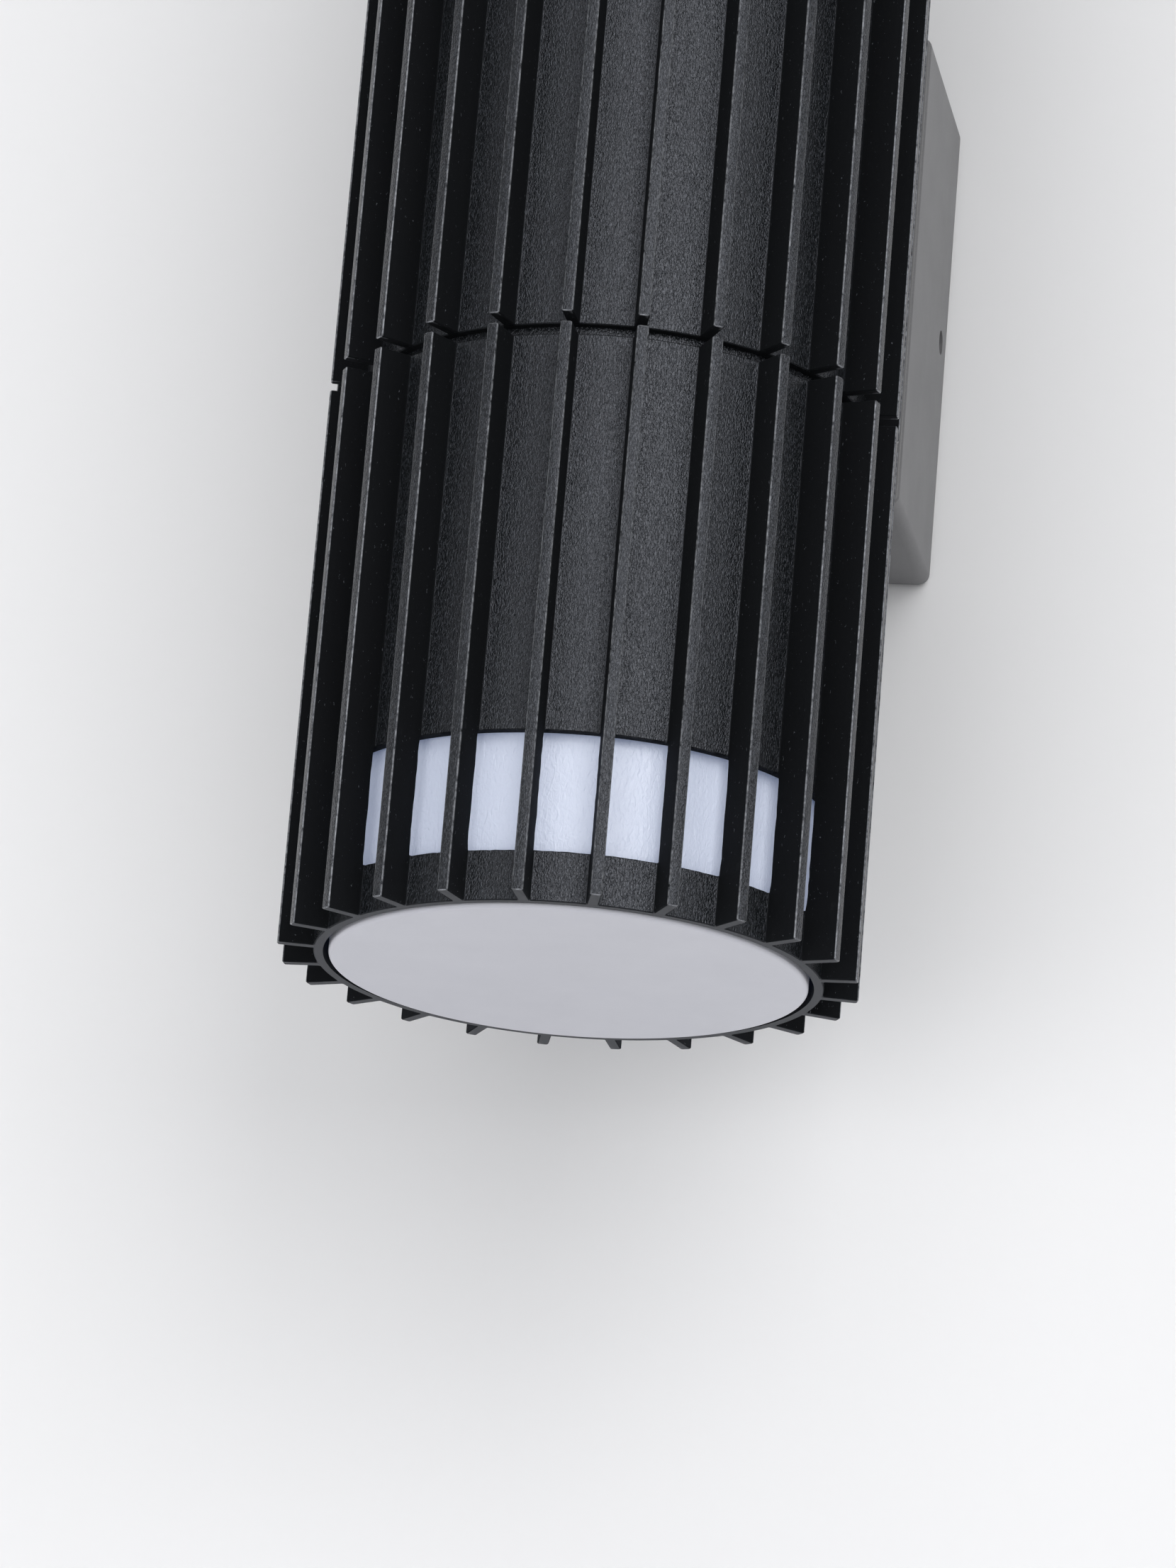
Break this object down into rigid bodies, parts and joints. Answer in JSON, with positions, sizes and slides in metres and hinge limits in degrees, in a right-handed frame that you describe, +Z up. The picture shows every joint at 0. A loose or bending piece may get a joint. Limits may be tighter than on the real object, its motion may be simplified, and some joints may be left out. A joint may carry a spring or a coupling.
{
  "type": "tube wall light",
  "caption": "Finned aluminium tube on a square wall box, shining down and up through opal diffusers, with lit windows between the fins.",
  "frame": {"origin": "on the wall plane, behind the middle of the wall box, midway between the two wall slots", "axes": "+Z up along the tube, +Y into the wall, +X to the right when facing the wall; the tube stands on the -Y side"},
  "size_m": [0.1, 0.1425, 0.2966],
  "materials": {
    "textured_coat": "charcoal powder coat with a fine leathery grain, satin",
    "smooth_coat": "dark grey powder coat, fine and even, satin",
    "black_steel": "blackened steel",
    "zinc_steel": "zinc plated steel",
    "foam": "closed-cell foam",
    "terminal_plastic": "light grey moulded",
    "lead_jacket": "white lead jacket",
    "driver_case": "white moulded case",
    "plain_aluminium": "turned, bare",
    "board_coat": "white solder resist",
    "chip_phosphor": "yellow phosphor",
    "opal": "opal acrylic, satin"
  },
  "bodies": {
    "root": {"wall_plate": "zinc_steel", "wall_gasket": "foam", "wall_box": "smooth_coat", "box_side_screws": "black_steel", "terminal_block": "terminal_plastic", "supply_lead": "lead_jacket", "tube_screws": "zinc_steel", "clamp_plate": "zinc_steel", "led_driver": "driver_case", "middle_tube": "textured_coat", "tie_bolt": "zinc_steel", "tie_nut": "zinc_steel", "lower_head_tube": "textured_coat", "lower_led_carrier": "plain_aluminium", "lower_led_board": "board_coat", "lower_led_chips": "chip_phosphor", "lower_diffuser": "opal", "lower_lead": "lead_jacket", "upper_head_tube": "textured_coat", "upper_led_carrier": "plain_aluminium", "upper_led_board": "board_coat", "upper_led_chips": "chip_phosphor", "upper_diffuser": "opal", "upper_lead": "lead_jacket"}
  },
  "joints": []
}
